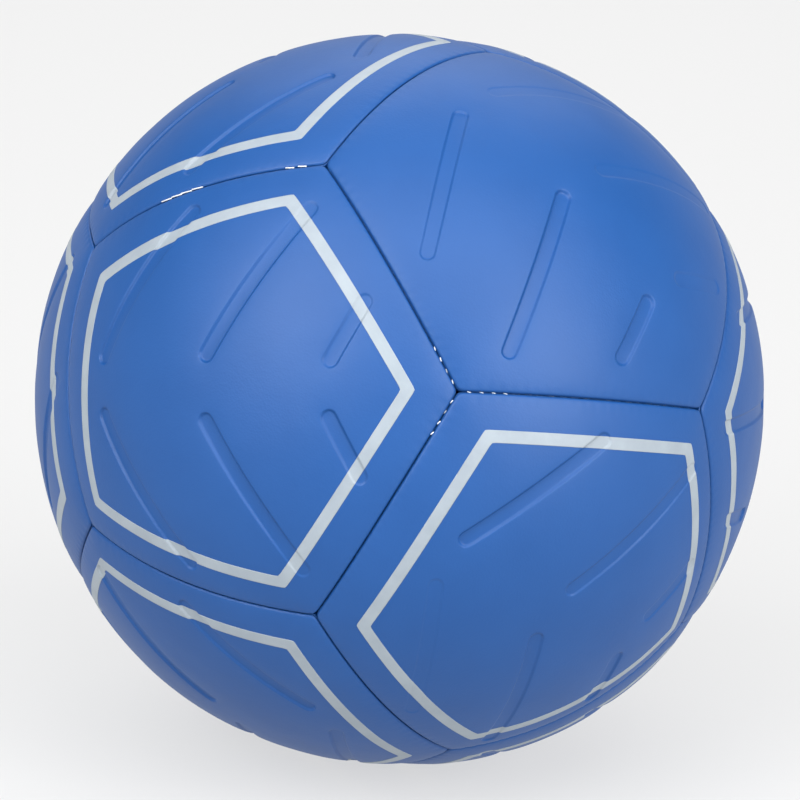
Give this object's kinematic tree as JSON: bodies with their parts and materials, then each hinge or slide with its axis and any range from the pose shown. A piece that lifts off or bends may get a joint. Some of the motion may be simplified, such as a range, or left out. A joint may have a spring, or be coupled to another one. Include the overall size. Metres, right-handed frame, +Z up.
{
  "type": "handball",
  "caption": "Soft inflatable handball for playing by hand: stitched five-sided foam-backed panels with pressed grip grooves, over a rubber bladder with a needle valve.",
  "frame": {"origin": "centre of the ball", "axes": "+Z up from the flat patch that it rests on, +X out through the middle of cover_panel_01, and the pictured front faces -Y"},
  "size_m": [0.175, 0.175, 0.1745],
  "materials": {
    "cover": "satin",
    "foam": "matte",
    "lining": "matte",
    "print": "satin",
    "thread": "matte",
    "bladder": "matte",
    "valve": "matte"
  },
  "bodies": {
    "root": {"cover_panel_01": "cover", "cover_panel_02": "cover", "cover_panel_03": "cover", "cover_panel_04": "cover", "cover_panel_05": "cover", "cover_panel_06": "cover", "cover_panel_07": "cover", "cover_panel_08": "cover", "cover_panel_09": "cover", "cover_panel_10": "cover", "cover_panel_11": "cover", "cover_panel_12": "cover", "foam_pad_01": "foam", "foam_pad_02": "foam", "foam_pad_03": "foam", "foam_pad_04": "foam", "foam_pad_05": "foam", "foam_pad_06": "foam", "foam_pad_07": "foam", "foam_pad_08": "foam", "foam_pad_09": "foam", "foam_pad_10": "foam", "foam_pad_11": "foam", "foam_pad_12": "foam", "lining_01": "lining", "lining_02": "lining", "lining_03": "lining", "lining_04": "lining", "lining_05": "lining", "lining_06": "lining", "lining_07": "lining", "lining_08": "lining", "lining_09": "lining", "lining_10": "lining", "lining_11": "lining", "lining_12": "lining", "printed_outline_01": "print", "printed_outline_02": "print", "printed_outline_03": "print", "printed_outline_04": "print", "printed_outline_06": "print", "printed_outline_07": "print", "printed_outline_08": "print", "printed_outline_09": "print", "printed_outline_11": "print", "printed_outline_12": "print", "seam_thread": "thread", "bladder": "bladder", "valve_patch": "bladder", "valve_seat": "valve", "valve_plug": "valve"}
  },
  "joints": []
}
